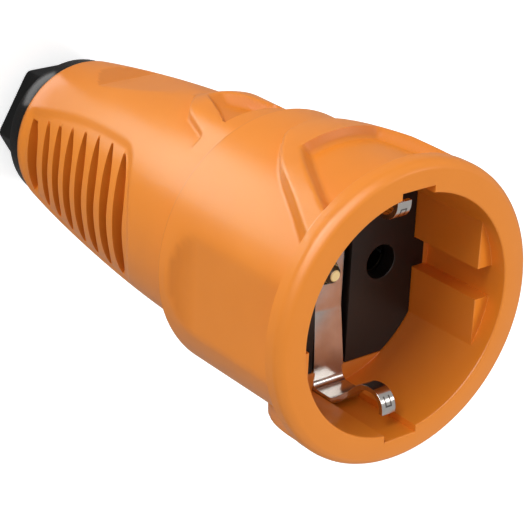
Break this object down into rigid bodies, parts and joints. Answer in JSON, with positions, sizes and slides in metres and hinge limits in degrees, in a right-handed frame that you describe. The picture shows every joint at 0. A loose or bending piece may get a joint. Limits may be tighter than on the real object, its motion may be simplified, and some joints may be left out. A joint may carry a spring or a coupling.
{
  "type": "grounded socket connector",
  "caption": "Rubber-bodied cord socket with a keyed round recess, two pin holes, sprung side earth clips and a screwed cord gland.",
  "frame": {"origin": "centre of the gland nut's rear face, on the socket's axis", "axes": "+Z along the axis, out of the socket mouth; the pin holes lie on X and the earth clips on Y"},
  "size_m": [0.049, 0.049, 0.0979],
  "materials": {
    "orange_rubber": "satin moulded rubber",
    "black_plastic": "fine matt moulding",
    "nickel": "bright nickel plating",
    "contact_brass": "drawn brass",
    "zinc_steel": "zinc plated",
    "gland_plastic": "satin dark grey",
    "seal_rubber": "soft black rubber"
  },
  "bodies": {
    "root": {"housing": "orange_rubber", "insert_front": "black_plastic", "insert_rear": "black_plastic", "earth_strip": "nickel", "pin_socket_left": "contact_brass", "pin_socket_right": "contact_brass", "socket_spring_left": "zinc_steel", "socket_spring_right": "zinc_steel", "terminal_left": "contact_brass", "terminal_right": "contact_brass", "earth_terminal": "contact_brass", "terminal_screws": "zinc_steel", "centre_screw": "contact_brass", "centre_nut": "contact_brass", "insert_screws": "zinc_steel", "gland_body": "gland_plastic", "clamp_fingers": "gland_plastic", "cord_seal": "seal_rubber", "slip_ring": "gland_plastic", "gland_nut": "gland_plastic"}
  },
  "joints": []
}
